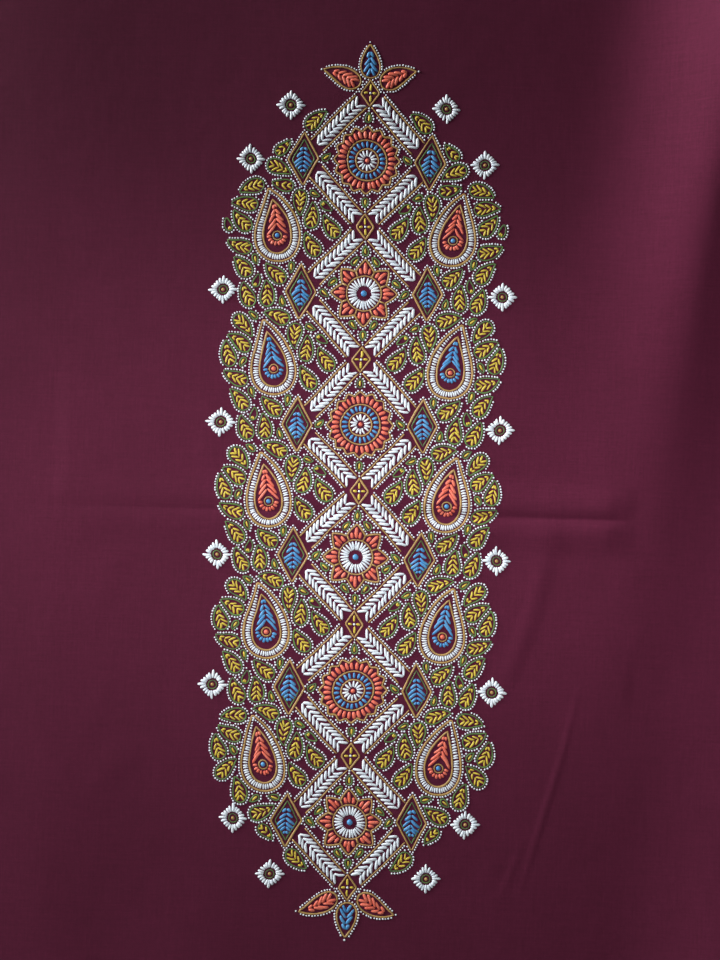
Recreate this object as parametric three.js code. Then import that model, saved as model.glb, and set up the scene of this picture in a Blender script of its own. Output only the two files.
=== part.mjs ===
// A cut length of plain-woven maroon cotton, painted in the rogan way, that lies face up on a flat surface.
// It is one sheet of cloth with cut ends and woven side edges. Its far right corner stands up in one long
// soft fold that runs out past the middle, a press crease crosses it, and low swells ease its edges. The
// rest lies flat.
// Millimetres, +X along the weft, +Y along the warp, +Z up. The origin is under the middle of the cloth,
// on the surface that it lies on.

import * as THREE from "three";

const CLOTH = { width: 560, length: 740, thick: 1 };

// How far the cut falls inside the nominal rectangle at its worst, and how often it wanders.
const CUT = { side: 0.8, end: 1.6, sideWaves: 2, endWaves: 3 };

// Each swell has a crest that curves from one point, past a bend, to another, and is rounded over a little
// way. It slopes down to nothing over its left and right reach, the more steeply near the crest, the higher
// its power. Its reaches, height and rounding are given at either end of the crest, and its height fades
// from the first to the other. A point beyond the cloth's edge lets a swell run out over that edge.
const SWELLS = [
  { name: "long fold", from: [267, 395], bend: [229, 150], to: [190, -95],
    left: [108, 104], right: [104, 68], high: [64, 1.6], fade: 2, round: [10, 42], power: 3 },
  { name: "far left", from: [-245, 395], bend: [-240, 300], to: [-205, 130],
    left: [170, 130], right: [200, 150], high: [6.5, 0], fade: 1, round: [90, 90], power: 2 },
  { name: "near left", from: [-206, -40], bend: [-200, -200], to: [-206, -395],
    left: [80, 80], right: [160, 160], high: [1.2, 1.6], fade: 1, round: [24, 24], power: 2 },
  { name: "near lower", from: [132, -36], bend: [122, -92], to: [105, -140],
    left: [30, 30], right: [24, 24], high: [1, 0], fade: 1, round: [9, 9], power: 2 },
  { name: "far lower", from: [190, -60], bend: [176, -130], to: [150, -230],
    left: [40, 34], right: [30, 28], high: [0.6, 0], fade: 1, round: [9, 9], power: 2 },
  { name: "near end", from: [-118, -395], bend: [-112, -340], to: [-96, -240],
    left: [110, 80], right: [130, 90], high: [3, 0], fade: 1, round: [50, 50], power: 2 },
  { name: "right edge", from: [274, -70], bend: [270, -250], to: [266, -395],
    left: [60, 95], right: [24, 24], high: [0, 15], fade: 1, round: [12, 12], power: 2 },
];

// The crease that folding in half has pressed: a sharp trough between two soft shoulders.
const CREASE = { from: [-235, -23], to: [192, -23], reach: 28, highFrom: 0, highTo: 2.7, fadeOut: 20 };

// How far each corner lifts, and how far in from the corner that lift begins.
const CORNERS = [
  { name: "far left", x: -1, y: 1, reach: 95, high: 5 },
  { name: "near left", x: -1, y: -1, reach: 80, high: 4 },
  { name: "near right", x: 1, y: -1, reach: 110, high: 7 },
];

// Grid lines lie closest together where the cloth bends most.
const COLUMNS = [
  { from: -280, to: -200, step: 13 },
  { from: -200, to: 120, step: 20 },
  { from: 120, to: 280, step: 10 },
];
const ROWS = [
  { from: -370, to: -52, step: 16 },
  { from: -52, to: 6, step: 4.8 },
  { from: 6, to: 370, step: 16 },
];

const COLOUR = 0x54223a;
const CREST_STEPS = 60;

function clamp01(t) {
  return Math.min(1, Math.max(0, t));
}

// 1 at the rounded crest, and 0 at the full reach.
function swellSlope(away, reach, round, power) {
  const share = (Math.hypot(away, round) - round) / (Math.hypot(reach, round) - round);
  return share >= 1 ? 0 : (1 - share) ** power;
}

// 0 in the crease, 1 at a third of the reach, and 0 again at the full reach.
function creaseSlope(share) {
  return share >= 1 ? 0 : 6.75 * share * (1 - share) ** 2;
}

function pointOnCrest(swell, t) {
  const [a, b, c] = [(1 - t) ** 2, 2 * t * (1 - t), t * t];
  return [0, 1].map((k) => a * swell.from[k] + b * swell.bend[k] + c * swell.to[k]);
}

function crestOf(swell) {
  return Array.from({ length: CREST_STEPS + 1 }, (_, i) => pointOnCrest(swell, i / CREST_STEPS));
}

// Where on a crest a point is nearest: how far away it is, how far along the crest, and on which side.
function nearestOnCrest(crest, x, y) {
  let best = { away: Infinity };
  for (let i = 0; i < CREST_STEPS; i++) {
    const [[ax, ay], [bx, by]] = [crest[i], crest[i + 1]];
    const [stepX, stepY] = [bx - ax, by - ay];
    const t = clamp01(((x - ax) * stepX + (y - ay) * stepY) / (stepX ** 2 + stepY ** 2));
    const nearX = ax + t * stepX;
    const away = Math.hypot(x - nearX, y - (ay + t * stepY));
    if (away < best.away) best = { away, along: (i + t) / CREST_STEPS, onLeft: x < nearX };
  }
  return best;
}

function swellLift(swell, crest, x, y) {
  const { away, along, onLeft } = nearestOnCrest(crest, x, y);
  const reach = THREE.MathUtils.lerp(...(onLeft ? swell.left : swell.right), along);
  const round = THREE.MathUtils.lerp(...swell.round, along);
  const high = THREE.MathUtils.lerp(...swell.high, 1 - (1 - along) ** swell.fade);
  return high * swellSlope(away, reach, round, swell.power);
}

function creaseLift(x, y) {
  const [fx, fy] = CREASE.from;
  const [tx, ty] = CREASE.to;
  const t = (x - fx) / (tx - fx);
  const away = Math.abs(y - THREE.MathUtils.lerp(fy, ty, t));
  const high = THREE.MathUtils.lerp(CREASE.highFrom, CREASE.highTo, clamp01(t));
  return high * clamp01((tx - x) / CREASE.fadeOut) * creaseSlope(away / CREASE.reach);
}

function cornerLift(corner, x, y) {
  const away = Math.hypot((corner.x * CLOTH.width) / 2 - x, (corner.y * CLOTH.length) / 2 - y);
  return corner.high * clamp01(1 - away / corner.reach) ** 2;
}

const crests = SWELLS.map(crestOf);

// How high the cloth's underside is above the surface at a point of its plan. The root of their squares' sum
// lets lifts that meet run into each other softly.
function liftAt(x, y) {
  const swells = SWELLS.map((swell, i) => swellLift(swell, crests[i], x, y));
  const corners = CORNERS.map((corner) => cornerLift(corner, x, y));
  return Math.hypot(...swells, ...corners) + creaseLift(x, y);
}

// Where the cut edge draws a point of the nominal rectangle to.
function cutPlace(x, y) {
  const u = (2 * x) / CLOTH.width;
  const v = (2 * y) / CLOTH.length;
  const side = CUT.side * (0.5 - 0.5 * Math.cos(Math.PI * CUT.sideWaves * v));
  const end = CUT.end * (0.5 - 0.5 * Math.cos(Math.PI * CUT.endWaves * u));
  return [x - u * side, y - v * end];
}

function gridLines(stretches) {
  const lines = [stretches[0].from];
  for (const { from, to, step } of stretches) {
    const count = Math.round((to - from) / step);
    for (let i = 1; i <= count; i++) lines.push(from + ((to - from) * i) / count);
  }
  return lines;
}

// One closed sheet: an upper and a lower skin over the same grid, joined by a rim along the four edges.
function sheetGeometry(xs, ys, thick) {
  const positions = [];
  for (const skin of [0, thick])
    for (const y of ys) for (const x of xs) positions.push(...cutPlace(x, y), liftAt(x, y) + skin);

  const [across, along] = [xs.length, ys.length];
  const skinSize = across * along;
  const lower = (i, j) => j * across + i;
  const index = [];
  const quad = (a, b, c, d) => index.push(a, b, c, a, c, d);

  for (let j = 0; j + 1 < along; j++)
    for (let i = 0; i + 1 < across; i++) {
      const corners = [lower(i, j), lower(i + 1, j), lower(i + 1, j + 1), lower(i, j + 1)];
      quad(...corners.map((corner) => corner + skinSize));
      quad(...corners.reverse());
    }

  const rim = [];
  for (let i = 0; i < across; i++) rim.push(lower(i, 0));
  for (let j = 1; j < along; j++) rim.push(lower(across - 1, j));
  for (let i = across - 2; i >= 0; i--) rim.push(lower(i, along - 1));
  for (let j = along - 2; j > 0; j--) rim.push(lower(0, j));
  rim.forEach((here, k) => {
    const next = rim[(k + 1) % rim.length];
    quad(here, next, next + skinSize, here + skinSize);
  });

  const geometry = new THREE.BufferGeometry();
  geometry.setAttribute("position", new THREE.Float32BufferAttribute(positions, 3));
  geometry.setIndex(index);
  geometry.computeVertexNormals();
  return geometry;
}

function paintedCloth() {
  const geometry = sheetGeometry(gridLines(COLUMNS), gridLines(ROWS), CLOTH.thick);
  const material = new THREE.MeshStandardMaterial({ color: COLOUR, roughness: 0.85, metalness: 0 });
  const cloth = new THREE.Mesh(geometry, material);
  cloth.name = "painted_cloth";
  return cloth;
}

const part = new THREE.Group();
part.add(paintedCloth());

export default part;
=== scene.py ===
"""The looks of a rogan painted cloth: maroon cotton lying in its folds, painted with raised oil paste.

Sizes and places are in millimetres, +X along the weft and +Y along the warp, and meshes are made in metres.
The ornament is a generic one of stars, drops and a lattice. It is worked out on the right half of the
painted panel, and each stroke is laid again on the left.
"""

import math

import bpy
import numpy as np
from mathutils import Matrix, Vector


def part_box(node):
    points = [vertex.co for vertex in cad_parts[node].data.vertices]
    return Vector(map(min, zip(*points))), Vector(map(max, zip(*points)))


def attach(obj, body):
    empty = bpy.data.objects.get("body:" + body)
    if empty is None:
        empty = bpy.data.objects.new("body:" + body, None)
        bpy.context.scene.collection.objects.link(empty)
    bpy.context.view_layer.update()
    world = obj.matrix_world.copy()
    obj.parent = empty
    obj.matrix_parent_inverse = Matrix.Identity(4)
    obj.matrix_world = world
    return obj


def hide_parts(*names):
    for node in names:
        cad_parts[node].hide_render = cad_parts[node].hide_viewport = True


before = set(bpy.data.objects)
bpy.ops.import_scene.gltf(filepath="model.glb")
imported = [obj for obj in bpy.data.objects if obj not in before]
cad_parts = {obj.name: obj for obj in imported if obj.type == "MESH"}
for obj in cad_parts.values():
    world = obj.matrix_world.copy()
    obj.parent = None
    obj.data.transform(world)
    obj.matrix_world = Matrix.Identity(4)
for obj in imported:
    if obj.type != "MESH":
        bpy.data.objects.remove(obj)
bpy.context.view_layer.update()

MM = 0.001
CLOTH_NODE = "painted_cloth"
node_low, node_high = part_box(CLOTH_NODE)
CLOTH_WIDTH = round((node_high.x - node_low.x) / MM)
CLOTH_LENGTH = round((node_high.y - node_low.y) / MM)
CLOTH_THICK = 1.0
FACE_HEIGHT = CLOTH_THICK * MM
hand = np.random.default_rng(7)


# ---------------------------------------------------------------- camera

VIEW_HEIGHT = 0.667  # metres of cloth from the top of the view to its bottom
LENS, SENSOR = 50.0, 36.0
ROLL_DEG = 1.6


def add_camera():
    lens = bpy.data.cameras.new("camera")
    lens.lens, lens.sensor_width = LENS, SENSOR
    camera = bpy.data.objects.new("camera", lens)
    camera.location = (0, 0, FACE_HEIGHT + VIEW_HEIGHT * LENS / SENSOR)
    camera.rotation_euler = (0, 0, math.radians(ROLL_DEG))
    bpy.context.scene.collection.objects.link(camera)
    bpy.context.scene.camera = camera


add_camera()


# ---------------------------------------------------------------- the lie of the cloth

# A swell's crest curves from one point, past a bend, to another. At either end it has a reach to its left
# and right, a height, and how far over its top is rounded. The more the fade, the sooner the height falls
# from its first value to its second. The more the power, the steeper the sides are beside the crest.
# The solid of the cloth has the same swells, press crease and lifted corners.
SWELLS = [
    dict(start=(267, 395), bend=(229, 150), end=(190, -95), left=(108, 104), right=(104, 68),
         high=(64, 1.6), fade=2, round=(10, 42), power=3),
    dict(start=(-245, 395), bend=(-240, 300), end=(-205, 130), left=(170, 130), right=(200, 150),
         high=(6.5, 0), fade=1, round=(90, 90), power=2),
    dict(start=(-206, -40), bend=(-200, -200), end=(-206, -395), left=(80, 80), right=(160, 160),
         high=(1.2, 1.6), fade=1, round=(24, 24), power=2),
    dict(start=(132, -36), bend=(122, -92), end=(105, -140), left=(30, 30), right=(24, 24),
         high=(1, 0), fade=1, round=(9, 9), power=2),
    dict(start=(190, -60), bend=(176, -130), end=(150, -230), left=(40, 34), right=(30, 28),
         high=(0.6, 0), fade=1, round=(9, 9), power=2),
    dict(start=(-118, -395), bend=(-112, -340), end=(-96, -240), left=(110, 80), right=(130, 90),
         high=(3, 0), fade=1, round=(50, 50), power=2),
    dict(start=(274, -70), bend=(270, -250), end=(266, -395), left=(60, 95), right=(24, 24),
         high=(0, 15), fade=1, round=(12, 12), power=2),
]
CREST_STEPS = 60
PRESS_CREASE = dict(start=(-235, -23), end=(192, -23), reach=28, high=(0, 2.7), fade_out=20)
CREASE_ROUNDING = 0.4
CORNERS = [
    dict(x=-1, y=1, reach=95, high=5),
    dict(x=-1, y=-1, reach=80, high=4),
    dict(x=1, y=-1, reach=110, high=7),
]
CUT = dict(side=0.8, end=1.6, side_waves=2, end_waves=3)

# Fine creases that only the thin sheet has: ridges, and troughs between two soft shoulders.
FINE_CREASES = [
    dict(form="ridge", line=[(133, -40), (122, -92), (109, -127), (100, -146)], reach=10, high=0.5),
    dict(form="ridge", line=[(158, -134), (146, -188), (135, -227), (118, -288)], reach=4, high=0.38),
    dict(form="ridge", line=[(120, -249), (112, -272), (103, -295)], reach=4, high=0.2),
    dict(form="trough", line=[(104, -258), (98, -270), (91, -281)], reach=6, high=0.2),
    dict(form="ridge", line=[(-158, -46), (-180, -82), (-194, -116)], reach=20, high=0.25),
    dict(form="ridge", line=[(-174, -140), (-180, -167)], reach=9, high=0.14),
    dict(form="ridge", line=[(-146, -190), (-172, -207), (-180, -223)], reach=15, high=0.3),
    dict(form="ridge", line=[(-112, 66), (-108, 30), (-106, -4)], reach=14, high=0.3),
]


def soft_slope(share):
    """1 at the crest, 0 at the full reach, level at both."""
    return 0.5 + 0.5 * np.cos(np.pi * np.minimum(share, 1))


def swell_slope(away, reach, rounding, power):
    """1 at the rounded crest, and 0 at the full reach."""
    share = (np.hypot(away, rounding) - rounding) / (np.hypot(reach, rounding) - rounding)
    return (1 - np.minimum(share, 1)) ** power


def crease_slope(share):
    """0 in the crease, 1 at a third of the reach, and 0 again at the full reach."""
    share = np.minimum(share, 1)
    return 6.75 * share * (1 - share) ** 2


def nearest_on_line(points, line):
    """Each point's distance from a line of points, how far along the line that is, and its x there."""
    start, step = line[:-1], np.diff(line, axis=0)
    off = points[:, None] - start
    t = np.clip((off * step).sum(2) / (step**2).sum(1), 0, 1)
    away = np.linalg.norm(off - t[..., None] * step, axis=2)
    best = away.argmin(1)
    rows = np.arange(len(points))
    along = (best + t[rows, best]) / len(step)
    return away[rows, best], along, (start + t[rows, :, None] * step)[rows, best, 0]


def swell_lift(row, x, y):
    t = np.linspace(0, 1, CREST_STEPS + 1)[:, None]
    start, bend, end = (np.array(row[k], float) for k in ("start", "bend", "end"))
    crest = (1 - t) ** 2 * start + 2 * t * (1 - t) * bend + t**2 * end
    farthest = max(*row["left"], *row["right"])
    low, high = crest.min(0) - farthest, crest.max(0) + farthest
    near = np.flatnonzero((x > low[0]) & (x < high[0]) & (y > low[1]) & (y < high[1]))
    lift = np.zeros(len(x))
    for part in np.array_split(near, len(near) // 10000 + 1):
        away, along, crest_x = nearest_on_line(np.column_stack([x[part], y[part]]), crest)
        left, right, rounding = (np.interp(along, (0, 1), row[k]) for k in ("left", "right", "round"))
        tall = row["high"][1] + (row["high"][0] - row["high"][1]) * (1 - along) ** row["fade"]
        reach = np.where(x[part] < crest_x, left, right)
        lift[part] = tall * swell_slope(away, reach, rounding, row["power"])
    return lift


def press_crease_lift(x, y):
    row = PRESS_CREASE
    (x0, y0), (x1, y1) = row["start"], row["end"]
    t = (x - x0) / (x1 - x0)
    away = np.hypot(y - (y0 + (y1 - y0) * t), CREASE_ROUNDING)
    fade = np.clip((x1 - x) / row["fade_out"], 0, 1)
    return np.interp(t, (0, 1), row["high"]) * fade * crease_slope(away / row["reach"])


def fine_crease_lift(row, x, y):
    away, along, _ = nearest_on_line(np.column_stack([x, y]), np.array(row["line"], float))
    slope = crease_slope if row["form"] == "trough" else soft_slope
    return row["high"] * np.sin(np.pi * along) ** 0.7 * slope(away / row["reach"])


def corner_lift(row, x, y):
    away = np.hypot(row["x"] * CLOTH_WIDTH / 2 - x, row["y"] * CLOTH_LENGTH / 2 - y)
    return row["high"] * np.clip(1 - away / row["reach"], 0, 1) ** 2


def lift_at(x, y):
    """How high the cloth's underside is above the surface. Lifts that meet run into each other softly."""
    lifts = [swell_lift(row, x, y) for row in SWELLS] + [corner_lift(row, x, y) for row in CORNERS]
    fine = sum(fine_crease_lift(row, x, y) for row in FINE_CREASES)
    return np.linalg.norm(lifts, axis=0) + press_crease_lift(x, y) + fine


def cut_place(x, y):
    """Where the hand-cut outline draws a point of the nominal rectangle to."""
    u, v = 2 * x / CLOTH_WIDTH, 2 * y / CLOTH_LENGTH
    side = CUT["side"] * (0.5 - 0.5 * np.cos(np.pi * CUT["side_waves"] * v))
    end = CUT["end"] * (0.5 - 0.5 * np.cos(np.pi * CUT["end_waves"] * u))
    return x - u * side, y - v * end


def on_cloth(x, y, height):
    """Points in metres, at that height above the cloth's painted face."""
    px, py = cut_place(x, y)
    return np.stack([px, py, lift_at(x, y) + CLOTH_THICK + height], axis=1) * MM


# ---------------------------------------------------------------- meshes

def unit(steps):
    return steps / np.maximum(np.linalg.norm(steps, axis=-1, keepdims=True), 1e-9)


def right_of(ahead):
    """The directions a quarter turn clockwise from these."""
    return np.stack([ahead[..., 1], -ahead[..., 0]], axis=-1)


def make_mesh(name, points, faces, sharp_deg=None):
    """An object from points in metres and arrays of faces, each with a row of corners for every face."""
    mesh = bpy.data.meshes.new(name)
    corners = np.concatenate([f.ravel() for f in faces]).astype(np.int32)
    sizes = np.concatenate([np.full(len(f), f.shape[1], np.int32) for f in faces])
    mesh.vertices.add(len(points))
    mesh.vertices.foreach_set("co", np.asarray(points, np.float32).ravel())
    mesh.loops.add(len(corners))
    mesh.loops.foreach_set("vertex_index", corners)
    mesh.polygons.add(len(sizes))
    mesh.polygons.foreach_set("loop_start", (np.cumsum(sizes) - sizes).astype(np.int32))
    mesh.update(calc_edges=True)
    mesh.validate()
    mesh.shade_smooth()
    if sharp_deg:
        mesh.set_sharp_from_angle(angle=math.radians(sharp_deg))
    made = bpy.data.objects.new(name, mesh)
    bpy.context.scene.collection.objects.link(made)
    return made


def grid_lines(stretches):
    """Lines over stretches of (from, to, step)."""
    lines = [np.array([stretches[0][0]], float)]
    for low, high, step in stretches:
        lines.append(np.linspace(low, high, round((high - low) / step) + 1)[1:])
    return np.concatenate(lines)


# Lines lie closest together where the creases are.
COLUMNS = [(-CLOTH_WIDTH / 2, 104, 4.6), (104, 162, 1.2), (162, CLOTH_WIDTH / 2, 3.4)]
ROWS = [
    (-CLOTH_LENGTH / 2, -310, 5.0),
    (-310, -100, 3.4),
    (-100, -36, 3.6),
    (-36, -8, 1.0),
    (-8, CLOTH_LENGTH / 2, 4.2),
]


def cloth_sheet():
    """An upper and a lower skin over one grid, closed by a rim."""
    xs, ys = grid_lines(COLUMNS), grid_lines(ROWS)
    grid_x, grid_y = (g.ravel() for g in np.meshgrid(xs, ys))
    upper = on_cloth(grid_x, grid_y, 0)
    lower = upper - (0, 0, FACE_HEIGHT)
    number = np.arange(grid_x.size).reshape(len(ys), len(xs))
    top = np.stack([number[:-1, :-1], number[:-1, 1:], number[1:, 1:], number[1:, :-1]], axis=2)
    top = top.reshape(-1, 4)
    rim = np.concatenate([number[0, :-1], number[:-1, -1], number[-1, :0:-1], number[:0:-1, 0]])
    onward = np.roll(rim, -1)
    edge = np.stack([rim + grid_x.size, onward + grid_x.size, onward, rim], axis=1)
    faces = [top, top[:, ::-1] + grid_x.size, edge]
    return make_mesh("cloth", np.concatenate([upper, lower]), faces, sharp_deg=50)


FRAY = dict(pitch=0.75, thick=0.34, least=0.5, most=2.6)
FRAY_SIDES = 4
FRAY_ROOT = -0.9  # where a loose end starts, inside the cloth
# Shares of a loose end's thickness and of its length, or None at its root.
FRAY_RINGS = [(1.0, None), (0.95, 0.0), (0.8, 0.55), (0.45, 1.0)]


def frayed_ends():
    """The short loose warp ends that stand out past both cuts."""
    points, faces = [], []
    count = round(CLOTH_WIDTH / FRAY["pitch"])
    turn = np.arange(FRAY_SIDES) / FRAY_SIDES * 2 * np.pi + np.pi / 4
    for way in (-1, 1):
        x = np.linspace(-CLOTH_WIDTH / 2 + 0.6, CLOTH_WIDTH / 2 - 0.6, count) + hand.normal(0, 0.12, count)
        long = FRAY["least"] + (FRAY["most"] - FRAY["least"]) * hand.beta(1.4, 3.5, count)
        sway = hand.normal(0, 0.22, count)
        level = hand.uniform(-0.75, -0.25, count)
        rings = []
        for share, out in FRAY_RINGS:
            reach = np.full(count, FRAY_ROOT) if out is None else out * long
            at_x = x + sway * long * (out or 0) ** 1.6
            radius = FRAY["thick"] / 2 * share
            ring_x = at_x[:, None] + radius * np.cos(turn)
            ring_y = np.broadcast_to((way * (CLOTH_LENGTH / 2 + reach))[:, None], ring_x.shape)
            up = (level - 0.1 * np.maximum(reach, 0))[:, None] + radius * np.sin(turn)
            up = np.maximum(up, -CLOTH_THICK + 0.02)
            rings.append(on_cloth(ring_x.ravel(), ring_y.ravel(), up.ravel()).reshape(count, -1, 3))
        ring = np.stack(rings, axis=1)
        number = np.arange(ring.size // 3).reshape(ring.shape[:3]) + sum(len(p) for p in points)
        here, after = number[:, :-1], number[:, 1:]
        beside, beside_after = np.roll(here, -1, axis=2), np.roll(after, -1, axis=2)
        order = [here, after, beside_after, beside] if way > 0 else [here, beside, beside_after, after]
        foot, tip = (number[:, 0], number[:, -1, ::-1]) if way > 0 else (number[:, 0, ::-1], number[:, -1])
        points.append(ring.reshape(-1, 3))
        faces += [np.stack(order, axis=3).reshape(-1, 4), foot, tip]
    return make_mesh("frayed_ends", np.concatenate(points), faces)


# ---------------------------------------------------------------- raised paste

PANEL_AT = (-1.0, -8.0)  # the painted panel's middle on the cloth
HAND_DRIFT = [(0.5, 0.047, 0.9), (0.35, 0.11, 2.2)]  # how far the hand strays, how often, from where


def drifted(x, y):
    """The same place, strayed a little, as a hand does over a large panel."""
    to_x = sum(far * np.sin(often * y + 0.6 * often * x + at) for far, often, at in HAND_DRIFT)
    to_y = sum(far * np.sin(0.9 * often * x - 0.5 * often * y + 2 * at) for far, often, at in HAND_DRIFT)
    return x + PANEL_AT[0] + to_x, y + PANEL_AT[1] + to_y


# A strand's section from its left foot over its crown to its right foot, as shares of half its width
# and of its height. The feet are a little way into the cloth.
SECTION = np.array([
    (-1.0, -0.3), (-0.84, 0.55), (-0.45, 0.92), (0.0, 1.0), (0.45, 0.92), (0.84, 0.55), (1.0, -0.3),
])
RISE = 0.27  # a strand's height as a share of its width
DOT_SIDES = 8
DOT_RINGS = [(1.0, -0.25), (0.92, 0.45), (0.58, 0.88)]


class Paste:
    """The strands and dots of one colour, which become one mesh."""

    def __init__(self, name):
        self.name, self.strands, self.dots = name, [], []

    def strand_arrays(self):
        """Points (x, y, height) and faces. Strands with as many stations are worked out together."""
        kinds = {}
        for course, widths, closed in self.strands:
            kinds.setdefault((len(course), closed), []).append((course, widths))
        for (_, closed), group in kinds.items():
            line = np.array([course for course, _ in group])
            width = np.array([widths for _, widths in group])[..., None]
            if closed:
                steps = np.roll(line, -1, axis=1) - np.roll(line, 1, axis=1)
            else:
                steps = np.gradient(line, axis=1)
            across = right_of(unit(steps))
            plan = line[:, :, None] + across[:, :, None] * (SECTION[:, 0] * width / 2)[..., None]
            up = SECTION[:, 1] * width * RISE
            points = np.concatenate([plan, up[..., None]], axis=3)
            number = np.arange(points.size // 3).reshape(points.shape[:3])
            here = number if closed else number[:, :-1]
            after = np.roll(number, -1, axis=1) if closed else number[:, 1:]
            quads = np.stack([here, np.roll(here, -1, 2), np.roll(after, -1, 2), after], axis=3)
            caps = [] if closed else [number[:, 0, ::-1], number[:, -1]]
            yield points.reshape(-1, 3), [quads.reshape(-1, 4), *caps]

    def dot_arrays(self):
        if not self.dots:
            return
        x, y, radius, high = np.array(self.dots).T[:, :, None]
        turn = np.arange(DOT_SIDES) / DOT_SIDES * 2 * np.pi + hand.uniform(0, 1, (len(x), 1))
        to_x, to_y = radius * np.cos(turn), radius * np.sin(turn)
        rings = [np.stack([x + out * to_x, y + out * to_y, high * up + 0 * turn], 2) for out, up in DOT_RINGS]
        points = np.concatenate([*rings, np.stack([x, y, high], axis=2)], axis=1)
        number = np.arange(points.size // 3).reshape(points.shape[:2])
        ring = number[:, :-1].reshape(len(x), len(DOT_RINGS), DOT_SIDES)
        onward = np.roll(ring, -1, axis=2)
        sides = np.stack([ring[:, :-1], onward[:, :-1], onward[:, 1:], ring[:, 1:]], axis=3)
        crown = np.repeat(number[:, -1:], DOT_SIDES, axis=1)
        tops = np.stack([ring[:, -1], onward[:, -1], crown], axis=2)
        yield points.reshape(-1, 3), [sides.reshape(-1, 4), tops.reshape(-1, 3), ring[:, 0, ::-1]]

    def build(self):
        points, faces, base = [], [], 0
        for some_points, some_faces in [*self.strand_arrays(), *self.dot_arrays()]:
            points.append(some_points)
            faces += [f + base for f in some_faces]
            base += len(some_points)
        x, y, height = np.concatenate(points).T
        return make_mesh(self.name, on_cloth(*drifted(x, y), height), faces)


PASTES = {c: Paste(f"paste_{c}") for c in ("white", "gold", "green", "yellow", "orange", "blue")}
DOT_PASTES = {way: Paste(f"dots_{name}") for way, name in ((1, "far"), (-1, "near"))}

LINE_STEP = 1.7  # between the stations of a drawn line
SLIP, BOW = 0.13, 0.05  # how far a stroke's ends stray, and how much it bends
OUTLINE, FINE_LINE = 1.3, 1.05
DOT_PITCH, DOT_RADIUS = 2.0, 0.66
HALO = 1.45  # from the middle of an outline to the middle of the dots beside it
GAP = 2 * HALO  # between two outlines that share a row of dots
LONG_STROKE = np.array([(0, 0.3), (0.12, 0.8), (0.45, 1.0), (0.85, 0.82), (1, 0.3)])
SHORT_STROKE = np.array([(0, 0.35), (0.25, 1.0), (0.72, 0.9), (1, 0.3)])


def smooth_noise(count):
    return np.convolve(hand.normal(0, 1, count + 4), np.full(5, 0.447), "valid")


def resample(points, step, closed):
    """The same course with even stations about that step apart."""
    if closed:
        points = np.concatenate([points, points[:1]])
    along = np.concatenate([[0], np.cumsum(np.linalg.norm(np.diff(points, axis=0), axis=1))])
    count = max(7 if closed else 3, round(along[-1] / step) + 1)
    at = np.linspace(0, along[-1], count)
    even = np.column_stack([np.interp(at, along, points[:, k]) for k in (0, 1)])
    return even[:-1] if closed else even


class Spot:
    """A place to paint at. Local points are flipped, turned and moved there, and painted on each side."""

    def __init__(self, at, turn_deg=0.0, flip=1, sides=(1, -1)):
        self.at, self.flip, self.sides = np.array(at, float), flip, sides
        turn = math.radians(turn_deg)
        self.axes = np.array([[math.cos(turn), math.sin(turn)], [-math.sin(turn), math.cos(turn)]])

    def place(self, points):
        return (np.asarray(points, float) * (self.flip, 1)) @ self.axes + self.at

    def line(self, colour, points, width=OUTLINE, closed=True):
        """A drawn line, a little uneven in its width and course."""
        course = resample(self.place(points), LINE_STEP, closed)
        for side in self.sides:
            stray = np.column_stack([smooth_noise(len(course)), smooth_noise(len(course))]) * 0.1
            widths = width * (1 + 0.1 * smooth_noise(len(course)))
            PASTES[colour].strands.append(((course + stray) * (side, 1), widths, closed))

    def stroke(self, colour, start, end, width, form=LONG_STROKE):
        """One laid stroke, full in its middle and drawn out to both ends."""
        t = form[:, :1]
        start, end = self.place([start, end])
        for side in self.sides:
            a, b = start + hand.normal(0, SLIP, 2), end + hand.normal(0, SLIP, 2)
            bow = hand.normal(0, BOW) * right_of(b - a)
            course = (1 - t) * a + t * b + np.sin(np.pi * t) * bow
            widths = width * form[:, 1] * hand.uniform(0.86, 1.12)
            PASTES[colour].strands.append((course * (side, 1), widths, False))

    def bead(self, colour, at, radius):
        x, y = self.place([at])[0]
        for side in self.sides:
            PASTES[colour].dots.append((x * side, y, radius, radius * 0.55))


# ---------------------------------------------------------------- shapes

RAY_STEPS = 9  # along each side of a star's ray


def polar(radius, turn_deg):
    """Clockwise from straight up."""
    turn = np.radians(turn_deg)
    return radius * np.sin(turn), radius * np.cos(turn)


def circle(radius, middle=(0, 0), count=40):
    return np.column_stack(polar(radius, np.arange(count) / count * 360)) + middle


def diamond(half_width, half_length):
    corners = [(0, half_length), (half_width, 0), (0, -half_length), (-half_width, 0)]
    return resample(np.array(corners, float), 1.0, True)


def ray_outline(rays, valley, tip, sharpness):
    """A star with that many pointed rays."""
    share = np.linspace(-1, 1, 2 * RAY_STEPS + 1)[:-1]
    radius = np.tile(valley + (tip - valley) * (1 - np.abs(share)) ** sharpness, rays)
    turn = ((np.arange(rays)[:, None] + share / 2) * 360 / rays).ravel()
    return np.column_stack(polar(radius, turn))


def offset(outline, by):
    """A closed outline moved outwards by that far."""
    onward = np.roll(outline, -1, axis=0)
    across = right_of(unit(onward - np.roll(outline, 1, axis=0)))
    turns_left = (outline[:, 0] * onward[:, 1] - onward[:, 0] * outline[:, 1]).sum() > 0
    return outline + across * (by if turns_left else -by)


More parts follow.
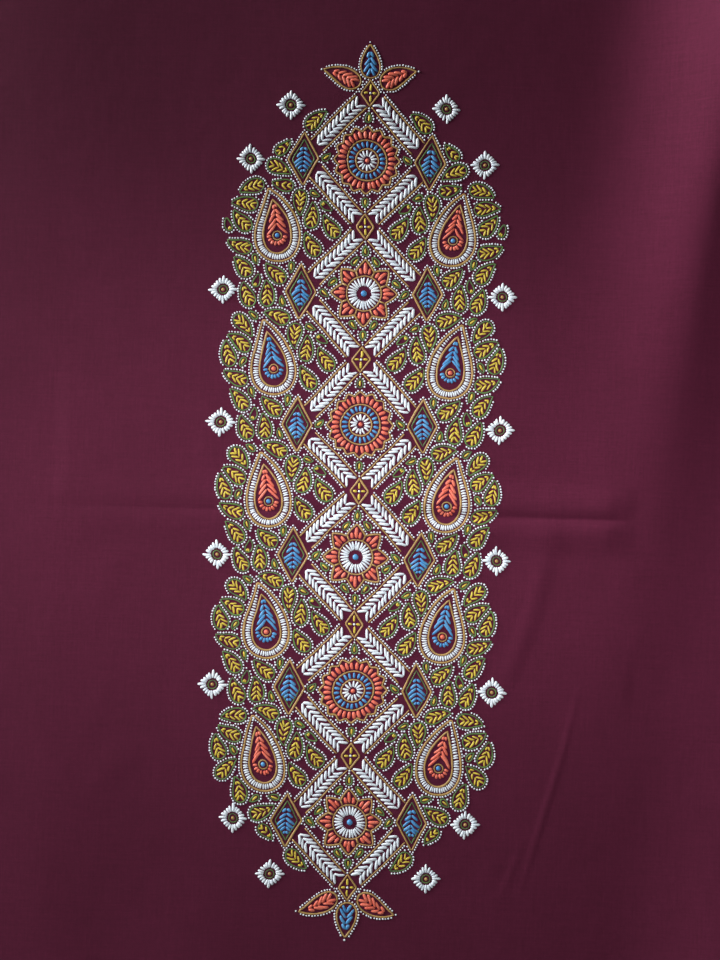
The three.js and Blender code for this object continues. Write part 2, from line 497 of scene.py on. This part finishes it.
class Drop:
    """A drop with its round foot at v = foot and its point at v = tip, leaning over towards its point."""

    FULLEST = 1 / 3  # where along it the drop is widest

    def __init__(self, long, wide, lean, foot=0.0, tip=1.0):
        self.long, self.wide, self.lean = long, wide, lean
        self.foot, self.tip = foot * long, tip * long

    def at(self, t):
        v = self.foot + np.clip(t, 0, 1) * (self.tip - self.foot)
        return np.stack([self.lean * self.long * (v / self.long) ** 2.6, v], axis=-1)

    def half(self, t):
        t = np.clip(t, 0, 1)
        return self.wide / 2 * np.sqrt(t / self.FULLEST) * (1 - t) / (1 - self.FULLEST)

    def beside(self, t, out):
        """A point that far to the side of its middle line."""
        across = right_of(unit(self.at(t + 0.02) - self.at(t - 0.02)))
        return self.at(t) + across * np.asarray(out)[..., None]

    def outline(self, count=24):
        t = np.linspace(0, 1, count) ** 2
        half = self.half(t)
        return np.concatenate([self.beside(t, half), self.beside(t, -half)[-2:0:-1]])

    def circles(self, count):
        """Circles (u, v, radius) that fill it."""
        middles = self.at(np.linspace(0.12, 0.97, count))
        away = np.linalg.norm(middles[:, None] - self.outline(40), axis=2)
        return np.column_stack([middles, away.min(1)])


def line_circles(start, end, radius):
    t = np.linspace(0, 1, 40)[:, None]
    return np.column_stack([(1 - t) * start + t * end, np.full(len(t), radius)])


def diamond_circles(half_width, half_length):
    v = np.linspace(-0.96, 0.96, 25)
    slant = half_length / math.hypot(half_width, half_length)
    return np.column_stack([0 * v, v * half_length, half_width * (1 - np.abs(v)) * slant])


def star_circles(rays, valley, tip):
    rows = [(0, 0, valley)]
    slant = math.sin(math.atan2(valley * math.sin(math.pi / rays), tip - valley))
    for share in (0.2, 0.45, 0.7, 0.9):
        out = valley + (tip - valley) * share
        rows += [(*polar(out, k * 360 / rays), (tip - out) * slant) for k in range(rays)]
    return np.array(rows)


# ---------------------------------------------------------------- the ground that is still bare

class Ground:
    """How far each point of the panel's right half is from what is painted, on a fine grid."""

    CELL = 0.5
    SEEN = 16.0  # how far round a shape its distance is kept
    BESIDE_AXIS = 6.0

    def __init__(self, half_width, half_length):
        self.xs = np.arange(-self.BESIDE_AXIS, half_width, self.CELL)
        self.ys = np.arange(-half_length, half_length, self.CELL)
        self.free = np.full((len(self.xs), len(self.ys)), self.SEEN)
        self.dots = {}

    def index(self, x, y):
        i = np.rint((np.asarray(x) - self.xs[0]) / self.CELL).astype(int)
        j = np.rint((np.asarray(y) - self.ys[0]) / self.CELL).astype(int)
        return np.clip(i, 0, len(self.xs) - 1), np.clip(j, 0, len(self.ys) - 1)

    def at(self, x, y):
        return self.free[self.index(x, y)]

    def block(self, spot, circles):
        for (x, y), radius in zip(spot.place(circles[:, :2]), circles[:, 2], strict=True):
            reach = radius + self.SEEN
            (i0, j0), (i1, j1) = self.index(x - reach, y - reach), self.index(x + reach, y + reach)
            part = (slice(i0, i1 + 1), slice(j0, j1 + 1))
            away = np.hypot(self.xs[part[0], None] - x, self.ys[None, part[1]] - y) - radius
            self.free[part] = np.minimum(self.free[part], away)

    def dots_along(self, course, closed):
        """White dots along a course, where nothing is painted and no other dot is near."""
        least, apart = HALO - 0.32, 0.86 * DOT_PITCH
        for x, y in resample(course, DOT_PITCH, closed):
            if x < -DOT_PITCH / 2 or self.at(x, y) < least:
                continue
            x = 0.0 if x < DOT_PITCH / 2 else x
            i, j = int(x // apart), int(y // apart)
            beside = [self.dots.get((i + di, j + dj), []) for di in (-1, 0, 1) for dj in (-1, 0, 1)]
            if any(math.hypot(x - p, y - q) < apart for cell in beside for p, q in cell):
                continue
            self.dots.setdefault((i, j), []).append((x, y))
            for side in (1, -1) if x else (1,):
                stray_x, stray_y = hand.normal(0, 0.1, 2)
                radius = DOT_RADIUS * hand.uniform(0.86, 1.14)
                high = radius * hand.uniform(0.62, 0.8)
                half = DOT_PASTES[1 if y > 0 else -1]
                half.dots.append((x * side + stray_x, y + stray_y, radius, high))


# ---------------------------------------------------------------- motifs

CHEVRON_DEG = 46  # between a chevron's arm and the line that it stands on
FOOT_SHARE = 0.07  # a drop's foot is left bare as far up as this
ONE_STROKE = 8  # a small drop no longer than this is filled with one stroke
LEAST_ROOM = 0.6  # for the arm of a chevron


def chevrons(spot, colour, drop, first, last, pitch, width, inset):
    """Arrow heads along a drop's middle line, pointing at its tip and as wide as the drop lets them be."""
    length = drop.tip - drop.foot
    for t in np.linspace(first, last, max(1, round((last - first) * length / pitch) + 1)):
        back = t - float(drop.half(t)) / math.tan(math.radians(CHEVRON_DEG)) / length
        back = max(back, FOOT_SHARE)
        room = float(min(drop.half(t), drop.half(back))) - inset
        for way in (1, -1):
            if room > LEAST_ROOM:
                start, end = drop.beside(t, way * 0.12 * width), drop.beside(back, way * room)
                spot.stroke(colour, start, end, width)


def small_drop(spot, drop):
    spot.line("green", drop.outline(), FINE_LINE)
    if drop.long > ONE_STROKE:
        chevrons(spot, "yellow", drop, 0.28, 0.8, 3.4, 1.5, 0.75)
    else:
        spot.stroke("yellow", drop.at(0.16), drop.at(0.74), 1.5, SHORT_STROKE)


COMB = dict(pitch=1.95, start=1.2, long=3.6, width=1.35)
EYE = dict(up=0.33, bead=1.7, ring=3.1, lashes=(4.2, 7.2))
FILL_WIDTH = 2.1


def big_drop(spot, drop, fill, eye):
    """A comb of white strokes between two gold lines, then an eye and chevrons."""
    rim = drop.outline(40)
    spot.line("gold", rim, 1.45)
    inner = Drop(drop.long, drop.wide - 2 * 5.8, drop.lean, foot=0.105, tip=0.84)
    spot.line("gold", inner.outline(30))
    even = resample(rim, COMB["pitch"], True)
    inwards = offset(even, -1.0) - even
    for point, way in zip(even, inwards, strict=True):
        to_tip = 1 - point[1] / drop.long
        start = point + way * COMB["start"]
        reach = COMB["long"] * min(1, max(0.28, 2.6 * to_tip))
        spot.stroke("white", start, start + way * reach, COMB["width"])
    middle = inner.at(EYE["up"])
    spot.bead(eye, middle, EYE["bead"])
    spot.line("gold", circle(EYE["ring"], middle, 16), 0.9)
    for turn in np.linspace(100, 260, 8):
        start, end = (middle + polar(radius, turn) for radius in EYE["lashes"])
        spot.stroke(fill, start, end, FILL_WIDTH)
    chevrons(spot, fill, inner, 0.56, 0.9, 3.7, FILL_WIDTH, 1.1)


def ring_of_strokes(spot, colour, count, inner, outer, width, shift=0.0):
    for k in range(count):
        turn = (k + shift) * 360 / count
        spot.stroke(colour, polar(inner, turn), polar(outer, turn), width)


STAR = dict(rays=8, valley=0.7, sharpness=1.15)
WHEEL = dict(rays=16, valley=0.86, sharpness=1.0)


def star_medallion(spot, radius):
    """Eight pointed rays filled with orange strokes, round a ring of white ones."""
    ring, rays = 0.49 * radius, STAR["rays"]
    spot.line("gold", circle(ring + 0.7), 1.0)
    for k in range(rays):
        turn, edge = k * 360 / rays, (k + 0.5) * 360 / rays
        spoke = np.array([polar(ring + 0.8, edge), polar(STAR["valley"] * radius, edge)])
        spot.line("gold", spoke, 1.15, False)
        spot.stroke("orange", polar(ring + 2.0, turn), polar(0.91 * radius, turn), 2.7)
        for lean in (-10.5, 10.5):
            spot.stroke("orange", polar(ring + 2.0, turn + lean), polar(0.76 * radius, turn + lean), 2.5)
    ring_of_strokes(spot, "white", 28, 0.22 * radius, ring - 0.2, 1.6)
    spot.bead("blue", (0, 0), 2.2)


def wheel_medallion(spot, radius):
    """Rings of white, blue and orange strokes inside a toothed edge."""
    for share in (0.345, 0.6):
        spot.line("gold", circle(share * radius), 1.1)
    ring_of_strokes(spot, "orange", 32, 0.65 * radius, 0.87 * radius, 2.6, 0.5)
    ring_of_strokes(spot, "blue", 22, 0.39 * radius, 0.56 * radius, 2.0)
    ring_of_strokes(spot, "white", 14, 0.12 * radius, 0.31 * radius, 1.6)
    spot.bead("orange", (0, 0), 1.5)


def lozenge(spot, half_width, half_length):
    """Blue chevrons inside a green and a gold edge."""
    spot.line("gold", diamond(half_width, half_length))
    inner_width, inner_length = 0.74 * half_width, 0.74 * half_length
    spot.line("green", diamond(inner_width, inner_length), 0.8)
    for v in np.arange(-0.62 * inner_length, 0.7 * inner_length, 3.2):
        room = inner_width * (1 - abs(v) / inner_length) - 1.1
        for way in (1, -1):
            if room > 0.8:
                spot.stroke("blue", (0.15 * way, v + 1), (room * way, v + 1 - room * 0.8), 2.15)


def crossing(spot, half_width, half_length):
    """Four yellow strokes round a white dot, in a gold rhombus."""
    spot.line("gold", diamond(half_width, half_length))
    for turn, long in ((0, half_length), (90, half_width), (180, half_length), (270, half_width)):
        spot.stroke("yellow", polar(1.5, turn), polar(0.68 * long, turn), 1.7)
    spot.bead("white", (0, 0), 0.85)


def braid(spot, length, half_width):
    """White chevrons between two gold lines, along +v."""
    for way in (1, -1):
        spot.line("gold", np.array([(way * half_width, 0), (way * half_width, length)], float), 1.0, False)
    pitch, room = 3.5, half_width - 1.1
    for v in np.linspace(room + 0.6, length - 0.9, round((length - room) / pitch)):
        for way in (1, -1):
            spot.stroke("white", (0.25 * way, v), (room * way, v - room * 1.15), 2.1)


def accent_star(spot, radius):
    """A four-pointed star of white strokes round a gold eye."""
    count = 20
    for k in range(count):
        turn = k * 360 / count
        four = np.abs(polar(1, turn)).sum()
        spot.stroke("white", polar(0.42 * radius, turn), polar(radius / four**0.8, turn), 2.2)
    spot.line("green", circle(0.29 * radius, count=14), 0.8)
    spot.bead("gold", (0, 0), 1.25)


# ---------------------------------------------------------------- the layout of the panel

CELLS = 6
CELL = 92.0
LATTICE_HALF_WIDTH = 44.0
LATTICE_HALF_LENGTH = CELLS * CELL / 2
BRAID_HALF = 5.8
LOZENGE = (10.5, 19.0)
CROSSING = (6.4, 9.0)
BRAID_LENGTH = math.hypot(LATTICE_HALF_WIDTH, CELL / 2)
BRAID_DEG = math.degrees(math.atan2(LATTICE_HALF_WIDTH, CELL / 2))
FROM_CROSSING, FROM_LOZENGE = 8.0, 12.9  # how far short of its crossing and its lozenge a braid ends
# A medallion leaves one row of dots between itself and the braids round it.
MEDALLION = LATTICE_HALF_WIDTH * CELL / 2 / BRAID_LENGTH - BRAID_HALF - GAP
BIG_DROP = dict(long=52.0, wide=31.0, lean=0.15)
BIG_DROP_X = 61.0
END_DROP = dict(long=24.0, wide=13.5, lean=0.0)
WING_DROP = dict(long=27.0, wide=13.0, lean=0.22)
ACCENT_RADIUS = 10.2
# Small drops stand away from what is near, and the more order, the less they turn to fit in.
SMALL_DROP = dict(slim=0.54, lean=0.2, lengths=(18.0, 15.6, 13.4, 11.4, 9.4, 7.4), order=2.0)
AXIS_DROP = dict(long=7.0, wide=4.2, lean=0.0)
NO_ROOM = 1e9
EDGE = dict(middle=92.0, bulge=6.5, end=84.0)


def edge_at(y):
    """Half the panel's width: widest at the crossings, and drawn in to a point at both ends."""
    from_end = np.clip(LATTICE_HALF_LENGTH - np.abs(y), 0, None)
    wide = EDGE["middle"] + EDGE["bulge"] * np.cos(2 * np.pi * (y + LATTICE_HALF_LENGTH) / CELL)
    return wide * np.sin(np.pi / 2 * np.clip(from_end / EDGE["end"], 0, 1)) ** 0.75


class Panel:
    """The whole ornament. Each main motif takes its ground, small drops fill the rest, and dots follow."""

    def __init__(self):
        self.ground = Ground(half_width=132, half_length=340)
        self.ground.free = np.minimum(self.ground.free, self.ground.xs[:, None] + HALO)
        self.halos = []

    def take(self, spot, circles, outline, closed=True):
        self.ground.block(spot, circles)
        course = offset(outline, HALO) if closed else outline
        self.halos.append((spot.place(course), closed))

    def medallion(self, k, at):
        spot = Spot((0, at), sides=(1,))
        form, fill = (WHEEL, wheel_medallion) if k % 2 else (STAR, star_medallion)
        valley = form["valley"] * MEDALLION
        outline = ray_outline(form["rays"], valley, MEDALLION, form["sharpness"])
        spot.line("gold", outline)
        fill(spot, MEDALLION)
        self.take(spot, star_circles(form["rays"], valley, MEDALLION), outline)

    def braids(self, low, high):
        """The two braids of a cell's right half, from its crossings out to its lozenge."""
        length = BRAID_LENGTH - FROM_CROSSING - FROM_LOZENGE
        for foot, turn in ((low, -BRAID_DEG), (high, BRAID_DEG - 180)):
            start = Spot((0, foot), turn).place([(0, FROM_CROSSING)])[0]
            spot = Spot(start, turn)
            braid(spot, length, BRAID_HALF)
            self.ground.block(spot, line_circles(np.zeros(2), np.array([0, length]), BRAID_HALF))
            for way in (1, -1):
                beside = way * (BRAID_HALF + HALO)
                self.halos.append((spot.place([(beside, -2), (beside, length + 2)]), False))

    def side_lozenge(self, at):
        spot = Spot((LATTICE_HALF_WIDTH, at))
        lozenge(spot, *LOZENGE)
        self.take(spot, diamond_circles(*LOZENGE), diamond(*LOZENGE))

    def node(self, at):
        spot = Spot((0, at), sides=(1,))
        crossing(spot, *CROSSING)
        self.take(spot, diamond_circles(*CROSSING), diamond(*CROSSING))

    def side_drop(self, k, at):
        drop = Drop(**BIG_DROP)
        spot = Spot((BIG_DROP_X, at - drop.long / 2))
        big_drop(spot, drop, *(("orange", "blue") if k % 2 else ("blue", "orange")))
        self.take(spot, drop.circles(24), drop.outline(50))

    def filled_drop(self, spot, drop, colour):
        spot.line("gold", drop.outline(30))
        chevrons(spot, colour, drop, 0.28, 0.76, 3.4, 2.4, 1.3)
        self.take(spot, drop.circles(16), drop.outline(40))

    def finial(self, way):
        """A drop standing on the last crossing, with another leaning out on each side of it."""
        upright = 0 if way > 0 else 180
        foot = LATTICE_HALF_LENGTH + CROSSING[1] + 1.6
        self.filled_drop(Spot((0, way * foot), upright, sides=(1,)), Drop(**END_DROP), "blue")
        turn = -52 if way > 0 else 52 - 180
        self.filled_drop(Spot((8.0, way * (foot - 5.5)), turn, flip=way), Drop(**WING_DROP), "orange")

    def axis_drops(self, at):
        """Above and below a medallion, on the middle line."""
        drop = Drop(**AXIS_DROP)
        for way, upright in ((1, 0), (-1, 180)):
            spot = Spot((0, at + way * (MEDALLION + GAP - 0.2)), upright, sides=(1,))
            small_drop(spot, drop)
            self.take(spot, drop.circles(9), drop.outline(24))

    def accent(self, x, y):
        spot = Spot((x, y))
        accent_star(spot, ACCENT_RADIUS)
        self.ground.block(spot, np.array([(0, 0, 0.85 * ACCENT_RADIUS)]))

    def small_drops(self):
        """Fills the ground inside the edge, the longest first, each in the tightest place that it fits."""
        ground = self.ground
        slope_x, slope_y = np.gradient(ground.free, ground.CELL)
        away = np.arctan2(slope_x, slope_y)
        x, y = np.meshgrid(ground.xs[::2], ground.ys[::2], indexing="ij")
        inside = (x > 0) & (x < edge_at(y)) & (ground.at(x, y) > 0.7 * GAP)
        x, y = x[inside], y[inside]
        turn = away[ground.index(x, y)]
        ways = [(flip, twist) for flip in (1, -1) for twist in np.radians(range(-150, 181, 30))]
        level = np.ones_like(x)
        kinds = [(x, y, turn + twist, flip * level, abs(twist) * level) for flip, twist in ways]
        places = np.concatenate([np.column_stack(kind) for kind in kinds])
        for long in SMALL_DROP["lengths"]:
            drop = Drop(long, SMALL_DROP["slim"] * long, SMALL_DROP["lean"])
            circles = drop.circles(6)
            left = places
            loose = self.looseness(left, circles)
            while True:
                left, loose = left[loose < NO_ROOM], loose[loose < NO_ROOM]
                if not len(left):
                    break
                x, y, turn, flip, _ = left[loose.argmin()]
                spot = Spot((x, y), -math.degrees(turn), flip)
                small_drop(spot, drop)
                self.take(spot, drop.circles(9), drop.outline(24))
                near = np.hypot(left[:, 0] - x, left[:, 1] - y) < 2 * long + 2 * GAP
                loose[near] = self.looseness(left[near], circles)

    def looseness(self, places, circles):
        """How much room is left round a shape at each place (x, y, turn, flip, twist), or NO_ROOM."""
        x, y, turn, flip, twist = places.T
        score = SMALL_DROP["order"] * twist
        for u, v, radius in circles:
            at_x = x + flip * u * np.cos(turn) + v * np.sin(turn)
            at_y = y - flip * u * np.sin(turn) + v * np.cos(turn)
            room = np.minimum(self.ground.at(at_x, at_y) - GAP, (edge_at(at_y) - at_x) * 0.94) - radius
            score = np.where(room < 0, NO_ROOM, score + room)
        return score

    def paint(self):
        for k in range(CELLS):
            low = -LATTICE_HALF_LENGTH + k * CELL
            middle, high = low + CELL / 2, low + CELL
            self.medallion(k, middle)
            self.axis_drops(middle)
            self.braids(low, high)
            self.side_lozenge(middle)
            self.accent(float(edge_at(middle)) + ACCENT_RADIUS + 1.5, middle)
            if k:
                self.side_drop(k, low)
            self.node(low)
        self.node(LATTICE_HALF_LENGTH)
        for way in (1, -1):
            self.finial(way)
            self.accent(54, way * (LATTICE_HALF_LENGTH - 8))
        self.small_drops()
        for course, closed in self.halos:
            self.ground.dots_along(course, closed)


Panel().paint()


# ---------------------------------------------------------------- materials

def linear(red, green, blue):
    """A screen colour, 0 to 255, as the linear one that shaders take."""
    shares = [c / 255 for c in (red, green, blue)]
    return tuple(c / 12.92 if c <= 0.04045 else ((c + 0.055) / 1.055) ** 2.4 for c in shares) + (1.0,)


class Finish:
    """A node material, made up from its Principled shader backwards."""

    def __init__(self, name, **constants):
        self.material = bpy.data.materials.new(name)
        self.material.use_nodes = True
        self.tree = self.material.node_tree
        self.tree.nodes.clear()
        self.surface = self.node("BsdfPrincipled", {k.replace("_", " "): v for k, v in constants.items()})
        self.node("OutputMaterial", {"Surface": self.surface.outputs[0]})
        place = self.node("TexCoord").outputs["Object"]
        self.place = self.node("VectorMath", {0: place, "Scale": 1 / MM}, operation="SCALE").outputs[0]

    def node(self, kind, inputs=None, **settings):
        made = self.tree.nodes.new("ShaderNode" + kind)
        for name, value in settings.items():
            setattr(made, name, value)
        for key, value in (inputs or {}).items():
            if isinstance(value, bpy.types.NodeSocket):
                self.tree.links.new(value, made.inputs[key])
            else:
                made.inputs[key].default_value = value
        return made

    def weighted(self, *parts):
        """The sum of some values, each times its weight."""
        total = 0.0
        for value, weight in parts:
            total = self.sum("MULTIPLY_ADD", value, weight, total)
        return total

    def choose(self, share, first, second):
        """The first value where the share is 1, and the second where it is 0."""
        return self.sum("MULTIPLY_ADD", share, self.sum("SUBTRACT", first, second), second)

    def sum(self, operation, *values):
        """One Math node."""
        return self.node("Math", dict(enumerate(values)), operation=operation).outputs[0]

    def stretched(self, x, y, z=0.0, shift=(0, 0, 0)):
        """The place in millimetres, times a factor on each axis."""
        inputs = {0: self.place, 1: (x, y, z), 2: shift}
        return self.node("VectorMath", inputs, operation="MULTIPLY_ADD").outputs[0]

    def noise(self, vector, detail=2.0, rough=0.5):
        inputs = {"Vector": vector, "Scale": 1.0, "Detail": detail, "Roughness": rough}
        return self.node("TexNoise", inputs).outputs["Fac"]

    def spread(self, value, low, high, to_low=0.0, to_high=1.0):
        """Maps low..high to to_low..to_high, and holds the ends."""
        inputs = {"Value": value, "From Min": low, "From Max": high, "To Min": to_low, "To Max": to_high}
        return self.node("MapRange", inputs).outputs["Result"]

    def mix(self, share, first, second):
        """One Mix node for colours, whose sockets go by number because several share a name."""
        return self.node("Mix", {0: share, 6: first, 7: second}, data_type="RGBA").outputs[2]

    def bump(self, height, distance, below=None):
        inputs = {"Height": height, "Distance": distance, "Strength": 1.0}
        if below:
            inputs["Normal"] = below
        return self.node("Bump", inputs).outputs[0]

    def set(self, **links):
        for name, socket in links.items():
            self.tree.links.new(socket, self.surface.inputs[name.replace("_", " ")])
        return self.material


YARN = 0.46  # between warp yarns, and between weft yarns
CLOTH_DARK, CLOTH_MAIN, CLOTH_LIGHT = linear(83, 26, 49), linear(95, 31, 58), linear(111, 41, 70)
# Painted shade: a darker maroon for the dips between the yarns, where shade falls.
PAINTED_SHADE_BETWEEN_YARNS = linear(63, 18, 36)


def cloth_finish():
    finish = Finish("maroon_cotton", Roughness=0.85, Sheen_Weight=0.1, Sheen_Roughness=0.5)
    finish.surface.inputs["Sheen Tint"].default_value = linear(225, 120, 150)
    finish.surface.inputs["Specular IOR Level"].default_value = 0.12
    straying = finish.spread(finish.noise(finish.stretched(0.06, 0.06), 1), 0.2, 0.8, -1.4, 1.4)
    axes = finish.node("SeparateXYZ", {0: finish.place}).outputs
    yarns, profiles = [], []
    for axis in (0, 1):
        at = finish.sum("ADD", finish.sum("MULTIPLY", axes[axis], 1 / YARN), straying)
        profile = finish.sum("SINE", finish.sum("MULTIPLY", at, math.pi))
        yarns.append(finish.sum("FLOOR", at))
        profiles.append(profile)
    # The warp is on top where both profiles have one sign, and the weft where they don't.
    on_top = finish.spread(finish.sum("MULTIPLY", *profiles), -0.12, 0.12)
    warp, weft = (finish.sum("ABSOLUTE", p) for p in profiles)
    warp_hump = finish.sum("MULTIPLY", finish.sum("POWER", warp, 0.9), finish.sum("POWER", weft, 0.35))
    weft_hump = finish.sum("MULTIPLY", finish.sum("POWER", weft, 0.9), finish.sum("POWER", warp, 0.35))
    humps = finish.choose(on_top, warp_hump, weft_hump)
    # Each yarn has thick and thin stretches of its own.
    slubs = []
    for yarn, along in ((yarns[0], axes[1]), (yarns[1], axes[0])):
        inputs = {0: finish.sum("MULTIPLY", yarn, 7.31), 1: finish.sum("MULTIPLY", along, 0.07)}
        slubs.append(finish.noise(finish.node("CombineXYZ", inputs).outputs[0], 2, 0.6))
    warp_slub, weft_slub = (finish.spread(s, 0.3, 0.75) for s in slubs)
    slub = finish.choose(on_top, warp_slub, weft_slub)
    streaks = [
        finish.spread(finish.noise(finish.stretched(*scale, shift=shift), 3, 0.62), 0.35, 0.72)
        for scale, shift in (((0.9, 0.022), (0, 0, 3)), ((0.022, 0.8), (0, 0, 9)))
    ]
    streak = finish.weighted(*((s, 0.5) for s in streaks))
    cloudy = finish.spread(finish.noise(finish.stretched(0.011, 0.009), 3, 0.55), 0.3, 0.7)
    mottle = finish.spread(finish.noise(finish.stretched(0.42, 0.38), 2, 0.65), 0.3, 0.7)
    tone = finish.weighted((slub, 0.3), (streak, 0.2), (mottle, 0.12), (cloudy, 0.12))
    body = finish.mix(finish.spread(tone, 0.16, 0.4), CLOTH_DARK, CLOTH_MAIN)
    colour = finish.mix(finish.spread(tone, 0.4, 0.72), body, CLOTH_LIGHT)
    # Painted shade: where the yarn humps are low, between the yarns, the colour goes to the darker maroon.
    woven_with_painted_shade = finish.mix(finish.spread(humps, 0.1, 0.5), PAINTED_SHADE_BETWEEN_YARNS, colour)
    soft = finish.noise(finish.stretched(0.05, 0.045), 3, 0.5)
    normal = None
    for height, high in ((soft, 0.35), (streak, 0.02), (humps, 0.04)):
        normal = finish.bump(height, high * MM, normal)
    return finish.set(Base_Color=woven_with_painted_shade, Normal=normal)


def paste_finish(name, main, other):
    """Dried oil paste: two tones that change over a few strokes, and a slightly lumpy skin."""
    finish = Finish(f"{name}_paste", Roughness=0.4)
    finish.surface.inputs["Specular IOR Level"].default_value = 0.45
    broad = finish.spread(finish.noise(finish.stretched(0.13, 0.13), 3, 0.6), 0.38, 0.66)
    fine = finish.noise(finish.stretched(1.7, 1.7), 3, 0.6)
    share = finish.weighted((broad, 0.7), (fine, 0.45))
    colour = finish.mix(finish.spread(share, 0.2, 0.95), linear(*main), linear(*other))
    lumps = finish.noise(finish.stretched(2.6, 2.6), 2, 0.5)
    return finish.set(Base_Color=colour, Normal=finish.bump(lumps, 0.16 * MM))


PASTE_COLOURS = {
    "white": ((234, 243, 249), (218, 230, 242)),
    "gold": ((158, 126, 60), (184, 146, 88)),
    "green": ((58, 84, 40), (84, 128, 52)),
    "yellow": ((214, 192, 62), (190, 166, 48)),
    "orange": ((216, 92, 70), (232, 122, 98)),
    "blue": ((48, 126, 186), (84, 156, 206)),
}


# ---------------------------------------------------------------- the set

FLOOR_SIZE = 4.0
FLOOR_BELOW = 0.0005


def add_floor():
    half = FLOOR_SIZE / 2
    corners = [(x * half, y * half, -FLOOR_BELOW) for x, y in ((-1, -1), (1, -1), (1, 1), (-1, 1))]
    floor = make_mesh("floor", np.array(corners), [np.array([[0, 1, 2, 3]])])
    finish = Finish("grey_board", Roughness=0.7)
    grain = finish.noise(finish.stretched(0.4, 0.4), 3)
    colour = finish.mix(finish.spread(grain, 0.3, 0.7), linear(136, 133, 128), linear(146, 143, 138))
    floor.data.materials.append(finish.set(Base_Color=colour))


# The window lies low on the left, so that it draws the folds. Each spot hangs straight above its place: they
# light the middle more than the ends, the near end more than the far one, and the far right corner a little.
WINDOW = dict(at=(-2.2, 1.15, 0.39), size=(0.9, 0.5), power=127.0)
SPOT_HEIGHT, SPOT_SOFTNESS = 0.85, 0.1
SPOTS = [
    dict(name="pool", place=(0, -0.01), cone_deg=35, stretch=3.2, power=15.4),
    dict(name="heart", place=(0.02, 0), cone_deg=25, stretch=2, power=3.5),
    dict(name="near", place=(0, -0.34), cone_deg=34, stretch=3.2, power=5.8),
    dict(name="corner", place=(0.36, 0.25), cone_deg=26, stretch=1, power=16.0),
]
AMBIENT = 0.14


def hang(lamp, place, power):
    lamp.energy = power
    made = bpy.data.objects.new(lamp.name, lamp)
    made.location = place
    bpy.context.scene.collection.objects.link(made)
    return made


def add_window():
    lamp = bpy.data.lights.new("window", "AREA")
    lamp.shape, lamp.size, lamp.size_y = "RECTANGLE", *WINDOW["size"]
    x, y, z = WINDOW["at"]
    made = hang(lamp, WINDOW["at"], WINDOW["power"])
    made.rotation_euler = (math.acos(z / math.hypot(x, y, z)), 0, math.atan2(x, -y))


def add_spots():
    for row in SPOTS:
        lamp = bpy.data.lights.new(row["name"], "SPOT")
        lamp.spot_size, lamp.spot_blend = math.radians(row["cone_deg"]), 1.0
        lamp.shadow_soft_size = SPOT_SOFTNESS
        made = hang(lamp, (*row["place"], SPOT_HEIGHT), row["power"])
        made.scale.x = row["stretch"]


def add_world():
    """Even light all round, and a white background to the camera and to reflections."""
    world = bpy.data.worlds.new("studio")
    world.use_nodes = True
    tree = world.node_tree
    tree.nodes.clear()
    paths = tree.nodes.new("ShaderNodeLightPath")
    seen = tree.nodes.new("ShaderNodeMath")
    seen.operation = "MAXIMUM"
    tree.links.new(paths.outputs["Is Camera Ray"], seen.inputs[0])
    tree.links.new(paths.outputs["Is Glossy Ray"], seen.inputs[1])
    strength = tree.nodes.new("ShaderNodeMapRange")
    strength.inputs["To Min"].default_value, strength.inputs["To Max"].default_value = AMBIENT, 0.92
    tree.links.new(seen.outputs[0], strength.inputs["Value"])
    light = tree.nodes.new("ShaderNodeBackground")
    tree.links.new(strength.outputs[0], light.inputs["Strength"])
    output = tree.nodes.new("ShaderNodeOutputWorld")
    tree.links.new(light.outputs[0], output.inputs["Surface"])
    bpy.context.scene.world = world


# ---------------------------------------------------------------- the pieces

cloth = cloth_sheet()
frayed = frayed_ends()
pastes = {name: paste.build() for name, paste in PASTES.items()}
dots = [paste.build() for paste in DOT_PASTES.values()]

cotton = cloth_finish()
for piece in (cloth, frayed):
    piece.data.materials.append(cotton)
finishes = {name: paste_finish(name, *tones) for name, tones in PASTE_COLOURS.items()}
for name, piece in pastes.items():
    piece.data.materials.append(finishes[name])
for piece in dots:
    piece.data.materials.append(finishes["white"])

add_floor()
add_window()
add_spots()
add_world()
bpy.context.scene.view_settings.view_transform = "Standard"

on_the_cloth = [frayed, *pastes.values(), *dots]
for piece in (cloth, *on_the_cloth):
    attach(piece, "root")
    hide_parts(CLOTH_NODE)
